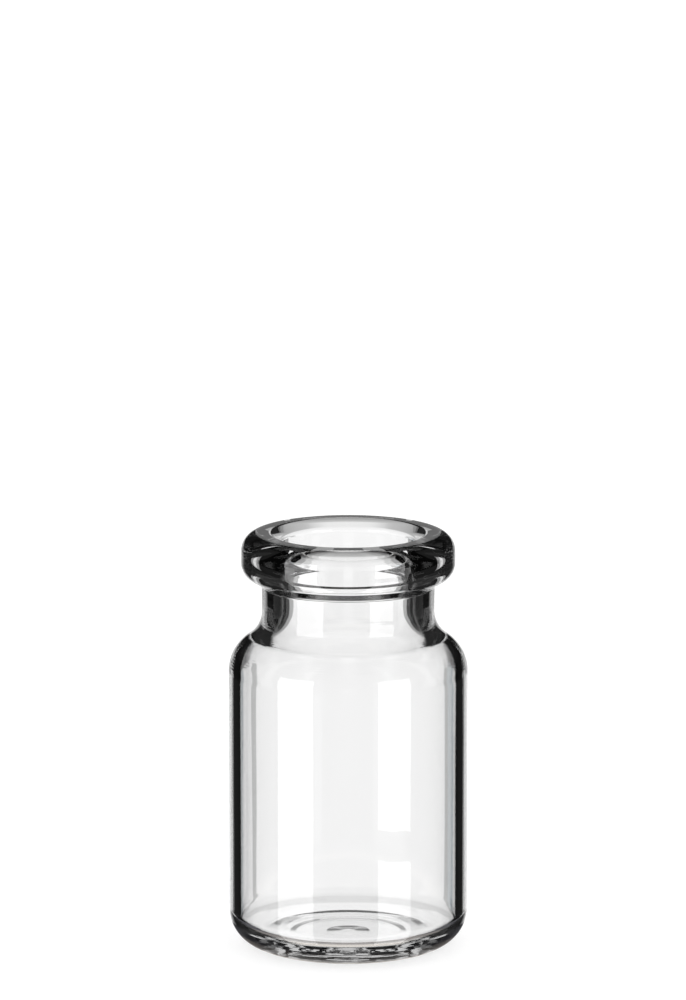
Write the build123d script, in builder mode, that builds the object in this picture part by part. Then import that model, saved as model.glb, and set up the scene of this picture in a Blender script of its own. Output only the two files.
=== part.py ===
from build123d import *
import os
from math import acos, cos, degrees, radians, sin

# Clear tubular-glass sample vial with a crimp neck.
# One piece of glass, turned about Z, standing on its base ring at z = 0. Millimetres.

# Body
body_diameter = 22.1
total_height = 38.95
body_wall = 1.05
shoulder_start = 25.95  # height where the straight wall ends

# Shoulder and neck
shoulder_radius = 3.75
throat_radius = 3.1  # hollow between shoulder and neck, outside
neck_diameter = 15.9  # narrowest, just above the shoulder
neck_top_diameter = 15.96
bore_diameter = 12.56
inner_shoulder_radius = 3.15
inner_throat_radius = 3.6  # rounding where the bore opens into the body

# Crimp crown
crown_diameter = 19.74
crown_side_height = 1.98  # below the rounded top edge, down to the underside's outer edge
rim_land = 0.97  # flat crest between the lead-in and the rounded outer edge
crown_bottom_radius = 1.5
crown_underside_drop = 1.2  # how much lower the underside is at the neck
underside_radius = 0.4  # crown to neck
lead_in_width = 0.92  # of the cone that leads into the bore
lead_in_depth = 0.9
lead_in_top_radius = 0.3
lead_in_foot_radius = 0.6

# Outside of the base: a flat ring, a shallow recess inside it and a dimple in the middle
heel_radius = 3.35
ring_inner_diameter = 11.0
ring_edge_radius = 0.8
recess_height = 0.08
recess_slope_width = 0.6  # from the ring in to the recess
recess_radius = 0.8
dimple_height = 0.32
dimple_diameter = 4.0
dimple_foot_radius = 1.2
dimple_top_diameter = 1.4
dimple_top_radius = 1.5

# Inside of the base: a flat floor in a shallow bowl, with a tight corner up to the wall
base_thickness = 1.45
bowl_radius = 12.0
inner_heel_radius = 1.25
inner_heel_turn = 70.0  # degrees, from the wall to the bowl

body_radius = body_diameter / 2
inside_radius = body_radius - body_wall
neck_radius = neck_diameter / 2
bore_radius = bore_diameter / 2
crown_radius = crown_diameter / 2
lead_in_outer = bore_radius + lead_in_width
crown_top_radius = crown_radius - rim_land - lead_in_outer


def double_bend(step, first_radius, second_radius):
    """Angle and height of two tangent arcs that bend one way and back over a sideways step."""
    turn = acos(1 - step / (first_radius + second_radius))
    return degrees(turn), (first_radius + second_radius) * sin(turn)


# Outside of the shoulder: round off the wall, then back into the neck
shoulder_turn, shoulder_rise = double_bend(body_radius - neck_radius, shoulder_radius, throat_radius)
neck_foot = shoulder_start + shoulder_rise

# Inside of the shoulder, from the same height
inner_turn, inner_rise = double_bend(
    inside_radius - bore_radius, inner_shoulder_radius, inner_throat_radius
)
bore_foot = shoulder_start + inner_rise

# Inside of the heel: the corner's centre, above the bowl
heel_slope = radians(inner_heel_turn)
inner_heel_centre = (
    base_thickness + bowl_radius * (1 - sin(heel_slope)) + inner_heel_radius * sin(heel_slope)
)

# Crown corners
crown_edge = total_height - crown_top_radius - crown_side_height
crown_foot = crown_edge - crown_underside_drop
ring_outer = body_radius - heel_radius
ring_inner = ring_inner_diameter / 2

with BuildPart() as vial:
    with BuildSketch(Plane.XZ):
        with BuildLine():
            # Underside, from the dimple out to the standing ring
            FilletPolyline(
                (0, dimple_height),
                (dimple_top_diameter / 2, dimple_height),
                (dimple_diameter / 2, recess_height),
                (ring_inner - recess_slope_width, recess_height),
                (ring_inner, 0),
                (ring_outer, 0),
                radius=[dimple_top_radius, dimple_foot_radius, recess_radius, ring_edge_radius],
            )
            # Heel, wall, shoulder and throat
            heel = JernArc((ring_outer, 0), (1, 0), heel_radius, 90)
            wall = Line(heel @ 1, (body_radius, shoulder_start))
            shoulder = JernArc(wall @ 1, wall % 1, shoulder_radius, shoulder_turn)
            throat = JernArc(shoulder @ 1, shoulder % 1, throat_radius, -shoulder_turn)
            # Neck, crown, rim, lead-in and bore, each corner with its own rounding
            FilletPolyline(
                throat @ 1,
                (neck_top_diameter / 2, crown_foot),
                (crown_radius, crown_edge),
                (crown_radius, total_height),
                (lead_in_outer, total_height),
                (bore_radius, total_height - lead_in_depth),
                (bore_radius, bore_foot),
                radius=[
                    underside_radius,
                    crown_bottom_radius,
                    crown_top_radius,
                    lead_in_top_radius,
                    lead_in_foot_radius,
                ],
            )
            # Inside of the shoulder and wall
            inner_throat = JernArc(
                (bore_radius, bore_foot), (0, -1), inner_throat_radius, inner_turn
            )
            inner_shoulder = JernArc(
                inner_throat @ 1, inner_throat % 1, inner_shoulder_radius, -inner_turn
            )
            inner_wall = Line(inner_shoulder @ 1, (inside_radius, inner_heel_centre))
            # Inner heel and bowl, then the flat floor back to the axis
            inner_heel = JernArc(
                inner_wall @ 1, inner_wall % 1, inner_heel_radius, -inner_heel_turn
            )
            bowl = JernArc(inner_heel @ 1, inner_heel % 1, bowl_radius, inner_heel_turn - 90)
            Line(bowl @ 1, (0, base_thickness))
            Line((0, base_thickness), (0, dimple_height))
        make_face()
    revolve(axis=Axis.Z)
vial.part.label = "vial"

os.makedirs("parts", exist_ok=True)
export_step(vial.part, "parts/vial.step")
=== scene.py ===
import math

import bmesh
import bpy
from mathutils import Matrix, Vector


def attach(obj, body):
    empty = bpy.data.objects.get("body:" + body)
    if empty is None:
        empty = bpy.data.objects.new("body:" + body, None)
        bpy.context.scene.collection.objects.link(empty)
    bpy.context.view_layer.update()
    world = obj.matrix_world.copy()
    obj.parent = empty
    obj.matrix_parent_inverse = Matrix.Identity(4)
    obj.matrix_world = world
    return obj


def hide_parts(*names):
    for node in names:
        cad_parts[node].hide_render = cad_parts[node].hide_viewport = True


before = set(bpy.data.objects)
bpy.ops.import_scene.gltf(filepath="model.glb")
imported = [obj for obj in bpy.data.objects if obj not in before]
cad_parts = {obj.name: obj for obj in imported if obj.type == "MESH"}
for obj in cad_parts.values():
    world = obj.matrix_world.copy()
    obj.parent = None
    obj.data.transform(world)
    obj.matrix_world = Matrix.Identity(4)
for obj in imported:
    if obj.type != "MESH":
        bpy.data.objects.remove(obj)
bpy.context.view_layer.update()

# Vial sizes, in millimetres, as in the solid
MM = 0.001
BODY_RADIUS = 11.05
TOTAL_HEIGHT = 38.95
BODY_WALL = 1.05
SHOULDER_START = 25.95
SHOULDER_RADIUS = 3.75
THROAT_RADIUS = 3.1
NECK_RADIUS = 7.95
NECK_TOP_RADIUS = 7.98
BORE_RADIUS = 6.28
INNER_SHOULDER_RADIUS = 3.15
INNER_THROAT_RADIUS = 3.6
CROWN_RADIUS = 9.87
CROWN_HEIGHT = 3.68
CROWN_TOP_RADIUS = 1.7
CROWN_BOTTOM_RADIUS = 1.5
CROWN_UNDERSIDE_DROP = 1.2
UNDERSIDE_RADIUS = 0.4
LEAD_IN_RADIUS = 7.2
LEAD_IN_DEPTH = 0.9
LEAD_IN_TOP_RADIUS = 0.3
LEAD_IN_FOOT_RADIUS = 0.6
HEEL_RADIUS = 3.35
RING_INNER_RADIUS = 5.5
RING_EDGE_RADIUS = 0.8
RECESS_HEIGHT = 0.08
RECESS_RADIUS = 4.9
RECESS_EDGE_RADIUS = 0.8
DIMPLE_HEIGHT = 0.32
DIMPLE_RADIUS = 2.0
DIMPLE_FOOT_RADIUS = 1.2
DIMPLE_TOP_RADIUS = 0.7
DIMPLE_TOP_ROUNDING = 1.5
BASE_THICKNESS = 1.45
BOWL_RADIUS = 12.0
INNER_HEEL_RADIUS = 1.25
INNER_HEEL_TURN = math.radians(70.0)

# Mesh density
SEGMENTS = 192
ARC_STEP = math.radians(4.0)
FEWEST_ARC_STEPS = 2
LINE_STEP = 1.0
LINE_GUARD = 0.05
SAME_POINT = 1e-4

# Camera, fitted to the rim and heel curves
IMAGE_WIDTH = 686
IMAGE_HEIGHT = 1000
CAMERA_DISTANCE = 0.650
CAMERA_ELEVATION = math.radians(12.9)
AIM_HEIGHT = 0.019
AIM_PIXEL = (348.2, 743.4)
PIXELS_PER_METRE = 10785
SENSOR_WIDTH = 36.0
NEAREST_SEEN = 0.01
FURTHEST_SEEN = 20

# Glass lets light bounce often before it leaves
BOUNCES = 24
GLASS_IOR = 1.49

# Forming marks in the glass: waves to the millimetre along X, Y and Z, and depth in millimetres
DRAWN_LINES = (0.55, 0.55, 0.03)
FORMED_RINGS = (0.06, 0.06, 1.1)
DRAWN_DETAIL = 2.0
FORMED_DETAIL = 1.0
LINE_SHARE = 0.5
# How strong the rings are at each height
FLAME_WORKED = [(0, 0.0), (24, 0.0), (27.5, 1.0), (31, 1.0), (34, 0.2), (38.95, 0.1)]
MARK_DEPTH = 0.012

# Studio as the glass shows it. Angles in degrees: azimuth 0 behind the vial, elevation 0 level.
# Each stop gives the angle from which a brightness or colour holds.
# Seen straight through the body: a ring of cards with a darker edge and gap in each period
CARD_PERIOD = 45.0
CARD_STRIPES = [
    (-22.5, 1.0),
    (-12.0, 0.65),
    (-9.5, 1.04),
    (11.7, 0.65),
    (14.2, (0.76, 0.80, 0.82)),
    (18.0, (0.50, 0.55, 0.58)),
]
# Seen straight through the neck and crown, above the cards
LOW_END = -12.1
WINDOW = [
    (0, 1.0), (14, 0.45), (17, 0.08), (22, 0.0), (75, 0.9), (105, 0.0), (120, 0.9), (150, 0.0), (165, 0.9)
]
HIGH_END = 24.0
# Seen steeply down through the rim, below the cards
STEEP_START = -18.0
STEEP_WINDOW = [
    (0, 1.0), (10, 0.75), (15, 0.45), (21, 0.0), (78, 0.8), (102, 0.0), (123, 0.8), (147, 0.0), (168, 0.8)
]
# Painted shade of the bench near the vial: darker the more steeply the glass looks down
STEEP_PAINTED_SHADE = [(-90, 0.6), (-57, 0.36), (-47, 0.45), (-39, 0.57), (-36.5, 0.9), (-24, 1.0)]
# Mirrored by the outside (rim) or from inside the glass (inner): low, high and sky
RIM_STRIPES = [(0, 1.0), (20, 0.35), (27, 0.05), (60, 0.3), (105, 0.2)]
INNER_STRIPES = [(0, 1.0), (17, 0.3), (22, 0.0), (118, 0.3), (152, 0.0)]
HIGH_RIM_STRIPES = [(0, 0.8), (20, 0.3), (27, 0.02)]
HIGH_INNER_STRIPES = [
    (0, 0.7), (5, 0.4), (10, 0.15), (15, 0.0), (80, 0.9), (96, 0.0), (128, 0.9), (140, 0.0), (172, 0.7)
]
SKY_START = -1.0
SKY_RIM_STRIPES = [(0, 0.4), (5, 0.02)]
SKY_INNER_STRIPES = [(0, 0.85), (5, 0.35), (15, 0.01), (84, 0.8), (94, 0.01), (130, 0.8), (138, 0.01)]
SKY_END = 68.0
# Mirrored more often than this inside the glass
DEEPEST_MIRROR = 2.5
DEEP_STRIPES = [(0, 0.6), (13, 0.15), (20, 0.02)]
DEEP_END = 60.0
DEEP_REST = 0.02
# Two tall light boxes in front, which only the outside mirrors; the right one has bars across it
LIGHT_BOXES = [(-146, -108), (117, 151)]
BOX_TOP = 22.0
BOX_STRENGTH = 3.75
BOX_BARS = [(-13.87, -13.62), (-12.15, -11.5)]

# Bench top. Stops by radius in millimetres give the bench close to the vial as the glass shows it: painted
# shadow seen through the glass, painted light and shade mirrored in it
FLOOR_SIZE = 3.0
FLOOR_DROP = -2e-5
FLOOR_DIFFUSE = 0.5
FLOOR_GLOW = 0.62
NEAR_FLOOR = 13.5
# Painted shadow: the bench through the glass is darker under the vial's middle and in a ring round its foot
FLOOR_THROUGH_PAINTED_SHADOW = [(0, 0.9), (5.5, 1.0), (10.6, 0.82), (12.6, 0.95)]
# Painted light and shade: the bench mirrored in the glass is a bright warm ring under the heel, dark inside
# and round it
FLOOR_MIRRORED_PAINTED_LIGHT_AND_SHADE = [
    (0, 0.1),
    (7.4, (0.79, 0.75, 0.70)),
    (9.0, (0.42, 0.40, 0.39)),
    (9.6, (0.27, 0.25, 0.24)),
    (10.6, (0.10, 0.10, 0.11)),
]

# A ray has bounced in a given way at least once where its count is above this
ANY_BOUNCE = 0.5


def double_bend(step, first_radius, second_radius):
    """Angle and height of two tangent arcs that bend one way and back over a sideways step."""
    turn = math.acos(1 - step / (first_radius + second_radius))
    return turn, (first_radius + second_radius) * math.sin(turn)


def arc(centre, radius, start, end):
    """Points along an arc, from one angle to another."""
    steps = max(FEWEST_ARC_STEPS, math.ceil(abs(end - start) / ARC_STEP))
    angles = [start + (end - start) * i / steps for i in range(steps + 1)]
    return [Vector((centre[0] + radius * math.cos(a), centre[1] + radius * math.sin(a))) for a in angles]


def rounded_corners(corners, radii):
    """A chain of straight lines with each inner corner rounded to its own radius."""
    corners = [Vector(c) for c in corners]
    points = [corners[0]]
    for before, corner, after, radius in zip(corners, corners[1:], corners[2:], radii):
        back = (before - corner).normalized()
        ahead = (after - corner).normalized()
        half = back.angle(ahead) / 2
        centre = corner + (back + ahead).normalized() * radius / math.sin(half)
        start = corner + back * radius / math.tan(half) - centre
        end = corner + ahead * radius / math.tan(half) - centre
        first = math.atan2(start.y, start.x)
        sweep = (math.atan2(end.y, end.x) - first + math.pi) % math.tau - math.pi
        points += arc(centre, radius, first, first + sweep)
    return points + [corners[-1]]


def vial_profile():
    """The section of the glass, from the middle of the underside round to the middle of the floor."""
    quarter = math.pi / 2
    inside = BODY_RADIUS - BODY_WALL
    ring_outer = BODY_RADIUS - HEEL_RADIUS
    # Underside, heel, shoulder and throat
    points = rounded_corners(
        [
            (0, DIMPLE_HEIGHT),
            (DIMPLE_TOP_RADIUS, DIMPLE_HEIGHT),
            (DIMPLE_RADIUS, RECESS_HEIGHT),
            (RECESS_RADIUS, RECESS_HEIGHT),
            (RING_INNER_RADIUS, 0),
            (ring_outer, 0),
        ],
        [DIMPLE_TOP_ROUNDING, DIMPLE_FOOT_RADIUS, RECESS_EDGE_RADIUS, RING_EDGE_RADIUS],
    )
    points += arc((ring_outer, HEEL_RADIUS), HEEL_RADIUS, -quarter, 0)
    turn, rise = double_bend(BODY_RADIUS - NECK_RADIUS, SHOULDER_RADIUS, THROAT_RADIUS)
    neck_foot = SHOULDER_START + rise
    points += arc((BODY_RADIUS - SHOULDER_RADIUS, SHOULDER_START), SHOULDER_RADIUS, 0, turn)
    points += arc((NECK_RADIUS + THROAT_RADIUS, neck_foot), THROAT_RADIUS, math.pi + turn, math.pi)
    # Neck, crown, rim, lead-in and bore
    inner_turn, inner_rise = double_bend(inside - BORE_RADIUS, INNER_SHOULDER_RADIUS, INNER_THROAT_RADIUS)
    bore_foot = SHOULDER_START + inner_rise
    crown_edge = TOTAL_HEIGHT - CROWN_HEIGHT
    points += rounded_corners(
        [
            (NECK_RADIUS, neck_foot),
            (NECK_TOP_RADIUS, crown_edge - CROWN_UNDERSIDE_DROP),
            (CROWN_RADIUS, crown_edge),
            (CROWN_RADIUS, TOTAL_HEIGHT),
            (LEAD_IN_RADIUS, TOTAL_HEIGHT),
            (BORE_RADIUS, TOTAL_HEIGHT - LEAD_IN_DEPTH),
            (BORE_RADIUS, bore_foot),
        ],
        [UNDERSIDE_RADIUS, CROWN_BOTTOM_RADIUS, CROWN_TOP_RADIUS, LEAD_IN_TOP_RADIUS, LEAD_IN_FOOT_RADIUS],
    )
    # Inside of the shoulder, heel, bowl and floor
    throat_centre = (BORE_RADIUS + INNER_THROAT_RADIUS, bore_foot)
    points += arc(throat_centre, INNER_THROAT_RADIUS, math.pi, math.pi + inner_turn)
    points += arc((inside - INNER_SHOULDER_RADIUS, SHOULDER_START), INNER_SHOULDER_RADIUS, inner_turn, 0)
    bowl_centre_height = BASE_THICKNESS + BOWL_RADIUS
    lean = BOWL_RADIUS - INNER_HEEL_RADIUS
    heel_centre = (inside - INNER_HEEL_RADIUS, bowl_centre_height - lean * math.sin(INNER_HEEL_TURN))
    bowl_centre = (heel_centre[0] - lean * math.cos(INNER_HEEL_TURN), bowl_centre_height)
    points += arc(heel_centre, INNER_HEEL_RADIUS, 0, -INNER_HEEL_TURN)
    points += arc(bowl_centre, BOWL_RADIUS, -INNER_HEEL_TURN, -quarter)
    return points + [Vector((0, BASE_THICKNESS))]


def evenly(points):
    """The same chain with repeated points dropped and long lines divided."""
    chain = [points[0]]
    for point in points[1:]:
        gap = (point - chain[-1]).length
        if gap < SAME_POINT:
            continue
        steps = math.ceil(gap / LINE_STEP)
        marks = [i / steps for i in range(1, steps + 1)]
        # Guard rings close to the ends of a long line keep its shading straight
        if gap > 4 * LINE_GUARD:
            marks = sorted(marks + [LINE_GUARD / gap, 1 - LINE_GUARD / gap])
        start = chain[-1]
        chain += [start.lerp(point, mark) for mark in marks]
    return chain


def build_vial():
    """The glass as one closed turned mesh."""
    chain = evenly(vial_profile())
    mesh = bmesh.new()
    first = mesh.verts.new((0, 0, chain[0].y * MM))
    last = mesh.verts.new((0, 0, chain[-1].y * MM))
    rings = []
    for point in chain[1:-1]:
        ring = []
        for i in range(SEGMENTS):
            angle = math.tau * i / SEGMENTS
            place = (point.x * math.cos(angle), point.x * math.sin(angle), point.y)
            ring.append(mesh.verts.new(Vector(place) * MM))
        rings.append(ring)
    for i in range(SEGMENTS):
        j = (i + 1) % SEGMENTS
        mesh.faces.new((first, rings[0][j], rings[0][i]))
        mesh.faces.new((last, rings[-1][i], rings[-1][j]))
        for low, high in zip(rings, rings[1:]):
            mesh.faces.new((low[i], low[j], high[j], high[i]))
    for face in mesh.faces:
        face.smooth = True
    data = bpy.data.meshes.new("vial_glass")
    mesh.to_mesh(data)
    mesh.free()
    piece = bpy.data.objects.new("vial_glass", data)
    bpy.context.scene.collection.objects.link(piece)
    return piece


def add_math(nodes, links, operation, *values):
    """A math node on the given values or sockets."""
    node = nodes.new("ShaderNodeMath")
    node.operation = operation
    for socket, value in zip(node.inputs, values):
        if isinstance(value, (int, float)):
            socket.default_value = value
        else:
            links.new(value, socket)
    return node.outputs[0]


def above(nodes, links, value, limit):
    """1 where the value is past the limit, 0 elsewhere."""
    return add_math(nodes, links, "GREATER_THAN", value, limit)


def both(nodes, links, first, second):
    """The product of two values or masks."""
    return add_math(nodes, links, "MULTIPLY", first, second)


def outside_of(nodes, links, mask):
    """1 where the mask is 0."""
    return add_math(nodes, links, "SUBTRACT", 1, mask)


def between(nodes, links, value, start, end):
    """1 from the start to the end."""
    return add_math(nodes, links, "COMPARE", value, (start + end) / 2, (end - start) / 2)


def pick(nodes, links, chooser, otherwise, chosen):
    """A colour: the chosen one where the chooser is 1."""
    node = nodes.new("ShaderNodeMix")
    node.data_type = "RGBA"
    links.new(chooser, node.inputs["Factor"])
    for name, value in (("A", otherwise), ("B", chosen)):
        socket = [i for i in node.inputs if i.name == name and i.type == "RGBA"][0]
        if isinstance(value, (int, float)):
            socket.default_value = (value, value, value, 1)
        else:
            links.new(value, socket)
    return [o for o in node.outputs if o.type == "RGBA"][0]


def steps_of(nodes, links, value, start, end, stops, smooth=False):
    """Brightness or colour along a value: each stop gives the value from which it holds."""
    place = nodes.new("ShaderNodeMapRange")
    links.new(value, place.inputs["Value"])
    place.inputs["From Min"].default_value = start
    place.inputs["From Max"].default_value = end
    node = nodes.new("ShaderNodeValToRGB")
    links.new(place.outputs[0], node.inputs[0])
    ramp = node.color_ramp
    ramp.interpolation = "LINEAR" if smooth else "CONSTANT"
    ramp.elements.remove(ramp.elements[1])
    for index, (mark, level) in enumerate(stops):
        position = (mark - start) / (end - start)
        element = ramp.elements.new(position) if index else ramp.elements[0]
        element.position = position
        element.color = (*level, 1) if isinstance(level, tuple) else (level, level, level, 1)
    return node.outputs["Color"]


def by_side(nodes, links, side, stops):
    """Stripes by the angle away from straight behind the vial, the same to the left and right."""
    return steps_of(nodes, links, side, 0, 180, stops)


def stretched_noise(nodes, links, place, stretch, detail):
    """Noise with its own scale along each axis, in waves to the millimetre."""
    mapping = nodes.new("ShaderNodeMapping")
    links.new(place, mapping.inputs["Vector"])
    mapping.inputs["Scale"].default_value = [wave / MM for wave in stretch]
    noise = nodes.new("ShaderNodeTexNoise")
    links.new(mapping.outputs[0], noise.inputs["Vector"])
    noise.inputs["Scale"].default_value = 1.0
    noise.inputs["Detail"].default_value = detail
    return noise.outputs[0]


def forming_marks(nodes, links):
    """Faint lines drawn up the tube, and rings where a flame shaped the shoulder and neck."""
    place = nodes.new("ShaderNodeTexCoord").outputs["Object"]
    split = nodes.new("ShaderNodeSeparateXYZ")
    links.new(place, split.inputs[0])
    height = add_math(nodes, links, "DIVIDE", split.outputs[2], MM)
    drawn = stretched_noise(nodes, links, place, DRAWN_LINES, DRAWN_DETAIL)
    formed = stretched_noise(nodes, links, place, FORMED_RINGS, FORMED_DETAIL)
    worked = steps_of(nodes, links, height, 0, TOTAL_HEIGHT, FLAME_WORKED, smooth=True)
    rings = both(nodes, links, formed, worked)
    marks = add_math(nodes, links, "ADD", both(nodes, links, drawn, LINE_SHARE), rings)
    bump = nodes.new("ShaderNodeBump")
    bump.inputs["Distance"].default_value = MARK_DEPTH * MM
    links.new(marks, bump.inputs["Height"])
    return bump.outputs["Normal"]


def clear_glass():
    """Colourless tube glass with the faint marks that drawing and flame forming leave."""
    material = bpy.data.materials.new("clear_glass")
    material.use_nodes = True
    nodes, links = material.node_tree.nodes, material.node_tree.links
    shader = nodes["Principled BSDF"]
    links.new(forming_marks(nodes, links), shader.inputs["Normal"])
    shader.inputs["Base Color"].default_value = (1, 1, 1, 1)
    shader.inputs["Roughness"].default_value = 0.0
    shader.inputs["IOR"].default_value = GLASS_IOR
    shader.inputs["Transmission Weight"].default_value = 1.0
    return material


def light_classes(nodes, links):
    """The light path, and masks of the rays that came through the glass and by a reflection."""
    path = nodes.new("ShaderNodeLightPath")
    # Light that the bench scatters counts as neither
    seen = add_math(nodes, links, "LESS_THAN", path.outputs["Diffuse Depth"], ANY_BOUNCE)
    through = above(nodes, links, path.outputs["Transmission Depth"], ANY_BOUNCE)
    reflected = above(nodes, links, path.outputs["Glossy Depth"], ANY_BOUNCE)
    return path, both(nodes, links, through, seen), both(nodes, links, reflected, seen)


def seen_through(nodes, links, azimuth, side, elevation):
    """What shows straight through the glass: cards level with the body, a window above, and below a window
    darkened by painted shade of the bench.
    """
    half = CARD_PERIOD / 2
    sector = add_math(nodes, links, "WRAP", azimuth, half, -half)
    cards = steps_of(nodes, links, sector, -half, half, CARD_STRIPES)
    window = by_side(nodes, links, side, WINDOW)
    # Painted shade of the bench near the vial, darker the more steeply the glass looks down
    painted_bench_shade = steps_of(nodes, links, elevation, -90, 90, STEEP_PAINTED_SHADE, smooth=True)
    steep = both(nodes, links, by_side(nodes, links, side, STEEP_WINDOW), painted_bench_shade)
    under = add_math(nodes, links, "LESS_THAN", elevation, STEEP_START)
    clear = pick(nodes, links, above(nodes, links, elevation, LOW_END), cards, window)
    clear = pick(nodes, links, under, clear, steep)
    return pick(nodes, links, above(nodes, links, elevation, HIGH_END), clear, 0.0)


def light_boxes(nodes, links, azimuth, elevation):
    """A mask of the two light boxes, with the bars across the right one."""
    boxes = add_math(nodes, links, "LESS_THAN", elevation, BOX_TOP)
    spans = [between(nodes, links, azimuth, start, end) for start, end in LIGHT_BOXES]
    boxes = both(nodes, links, boxes, add_math(nodes, links, "ADD", *spans))
    right = above(nodes, links, azimuth, 0)
    for low_edge, high_edge in BOX_BARS:
        bar = both(nodes, links, right, between(nodes, links, elevation, low_edge, high_edge))
        boxes = both(nodes, links, boxes, outside_of(nodes, links, bar))
    return boxes


def seen_mirrored(nodes, links, azimuth, side, elevation, inside, shallow):
    """What shows by a reflection: thin windows, and on the outside the light boxes."""
    low_rim = by_side(nodes, links, side, RIM_STRIPES)
    low = pick(nodes, links, inside, low_rim, by_side(nodes, links, side, INNER_STRIPES))
    high_rim = by_side(nodes, links, side, HIGH_RIM_STRIPES)
    high = pick(nodes, links, inside, high_rim, by_side(nodes, links, side, HIGH_INNER_STRIPES))
    sky_rim = by_side(nodes, links, side, SKY_RIM_STRIPES)
    sky = pick(nodes, links, inside, sky_rim, by_side(nodes, links, side, SKY_INNER_STRIPES))
    high = pick(nodes, links, above(nodes, links, elevation, SKY_START), high, sky)
    mirror = pick(nodes, links, above(nodes, links, elevation, LOW_END), low, high)
    mirror = pick(nodes, links, above(nodes, links, elevation, SKY_END), mirror, 0.0)
    boxes = light_boxes(nodes, links, azimuth, elevation)
    boxes = both(nodes, links, boxes, outside_of(nodes, links, inside))
    mirror = pick(nodes, links, boxes, mirror, BOX_STRENGTH)
    raised = between(nodes, links, elevation, 0, DEEP_END)
    deep = pick(nodes, links, raised, DEEP_REST, by_side(nodes, links, side, DEEP_STRIPES))
    return pick(nodes, links, shallow, deep, mirror)


def studio_world():
    """White to the camera and the floor; cards, windows and light boxes to the glass."""
    world = bpy.data.worlds.new("studio")
    bpy.context.scene.world = world
    world.use_nodes = True
    nodes, links = world.node_tree.nodes, world.node_tree.links
    nodes.clear()
    path, through, reflected = light_classes(nodes, links)
    inside = both(nodes, links, reflected, path.outputs["Is Transmission Ray"])
    shallow = add_math(nodes, links, "LESS_THAN", path.outputs["Glossy Depth"], DEEPEST_MIRROR)
    split = nodes.new("ShaderNodeSeparateXYZ")
    links.new(nodes.new("ShaderNodeTexCoord").outputs["Generated"], split.inputs[0])
    x, y, z = split.outputs
    azimuth = add_math(nodes, links, "DEGREES", add_math(nodes, links, "ARCTAN2", x, y))
    elevation = add_math(nodes, links, "DEGREES", add_math(nodes, links, "ARCSINE", z))
    side = add_math(nodes, links, "ABSOLUTE", azimuth)
    clear = seen_through(nodes, links, azimuth, side, elevation)
    mirror = seen_mirrored(nodes, links, azimuth, side, elevation, inside, shallow)
    colour = pick(nodes, links, through, 1.0, clear)
    colour = pick(nodes, links, reflected, colour, mirror)
    background = nodes.new("ShaderNodeBackground")
    links.new(colour, background.inputs["Color"])
    out = nodes.new("ShaderNodeOutputWorld")
    links.new(background.outputs[0], out.inputs["Surface"])


def mixed(nodes, links, chooser, otherwise, chosen):
    """A shader: the chosen one where the chooser is 1."""
    mix = nodes.new("ShaderNodeMixShader")
    links.new(chooser, mix.inputs[0])
    links.new(otherwise, mix.inputs[1])
    links.new(chosen, mix.inputs[2])
    return mix.outputs[0]


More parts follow.
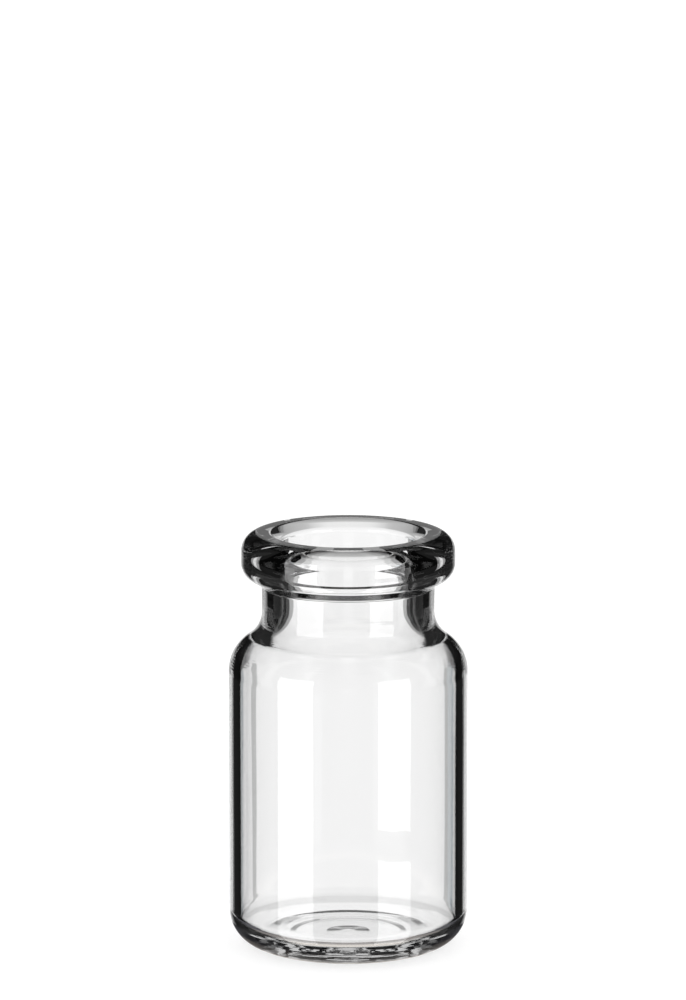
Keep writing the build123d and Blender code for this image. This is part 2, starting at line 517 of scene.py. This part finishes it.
def pale_floor():
    """White with the vial's shadow; through the glass, the bench close by glows with painted shadow and
    painted light and shade, and the studio shows further off.
    """
    material = bpy.data.materials.new("pale_floor")
    material.use_nodes = True
    nodes, links = material.node_tree.nodes, material.node_tree.links
    nodes.clear()
    _, through, reflected = light_classes(nodes, links)
    # White with a shadow
    diffuse = nodes.new("ShaderNodeBsdfDiffuse")
    diffuse.inputs["Color"].default_value = (FLOOR_DIFFUSE, FLOOR_DIFFUSE, FLOOR_DIFFUSE, 1)
    glow = nodes.new("ShaderNodeEmission")
    glow.inputs["Strength"].default_value = FLOOR_GLOW
    lit = nodes.new("ShaderNodeAddShader")
    links.new(diffuse.outputs[0], lit.inputs[0])
    links.new(glow.outputs[0], lit.inputs[1])
    # As the glass shows it: painted shadow and painted light and shade on the bench close by, as a glow
    length = nodes.new("ShaderNodeVectorMath")
    length.operation = "LENGTH"
    links.new(nodes.new("ShaderNodeTexCoord").outputs["Object"], length.inputs[0])
    radius = add_math(nodes, links, "DIVIDE", length.outputs["Value"], MM)
    near = add_math(nodes, links, "LESS_THAN", radius, NEAR_FLOOR)
    # Painted shadow: the bench through the glass is darker under the vial's middle and in a ring round its
    # foot
    straight = steps_of(nodes, links, radius, 0, NEAR_FLOOR, FLOOR_THROUGH_PAINTED_SHADOW)
    # Painted light and shade: the bench mirrored in the glass is a bright warm ring under the heel, dark
    # inside and round it
    mirrored = steps_of(nodes, links, radius, 0, NEAR_FLOOR, FLOOR_MIRRORED_PAINTED_LIGHT_AND_SHADE)
    seen = nodes.new("ShaderNodeEmission")
    links.new(pick(nodes, links, reflected, straight, mirrored), seen.inputs["Color"])
    clear = nodes.new("ShaderNodeBsdfTransparent")
    by_glass = mixed(nodes, links, near, clear.outputs[0], seen.outputs[0])
    glass_ray = add_math(nodes, links, "MAXIMUM", through, reflected)
    out = nodes.new("ShaderNodeOutputMaterial")
    links.new(mixed(nodes, links, glass_ray, lit.outputs[0], by_glass), out.inputs["Surface"])
    return material


def studio_floor():
    """The bench top, just under the vial."""
    data = bpy.data.meshes.new("floor")
    corners = [(-1, -1), (1, -1), (1, 1), (-1, 1)]
    data.from_pydata([(x * FLOOR_SIZE, y * FLOOR_SIZE, FLOOR_DROP) for x, y in corners], [], [(0, 1, 2, 3)])
    floor = bpy.data.objects.new("floor", data)
    bpy.context.scene.collection.objects.link(floor)
    data.materials.append(pale_floor())


def add_camera():
    """The camera at the photo's angle and framing."""
    camera = bpy.data.cameras.new("camera")
    camera.sensor_width = SENSOR_WIDTH
    camera.lens = SENSOR_WIDTH * PIXELS_PER_METRE * CAMERA_DISTANCE / IMAGE_HEIGHT
    camera.shift_x = (IMAGE_WIDTH / 2 - AIM_PIXEL[0]) / IMAGE_HEIGHT
    camera.shift_y = (AIM_PIXEL[1] - IMAGE_HEIGHT / 2) / IMAGE_HEIGHT
    camera.clip_start = NEAREST_SEEN
    camera.clip_end = FURTHEST_SEEN
    holder = bpy.data.objects.new("camera", camera)
    back = Vector((0, -math.cos(CAMERA_ELEVATION), math.sin(CAMERA_ELEVATION)))
    holder.location = Vector((0, 0, AIM_HEIGHT)) + back * CAMERA_DISTANCE
    holder.rotation_mode = "QUATERNION"
    holder.rotation_quaternion = (-back).to_track_quat("-Z", "Y")
    bpy.context.scene.collection.objects.link(holder)
    bpy.context.scene.camera = holder


add_camera()
vial = build_vial()
vial.data.materials.append(clear_glass())
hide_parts("vial")
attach(vial, "root")
studio_floor()
studio_world()

scene = bpy.context.scene
scene.view_settings.view_transform = "Standard"
scene.cycles.max_bounces = BOUNCES
scene.cycles.transmission_bounces = BOUNCES
scene.cycles.glossy_bounces = BOUNCES
scene.cycles.transparent_max_bounces = BOUNCES
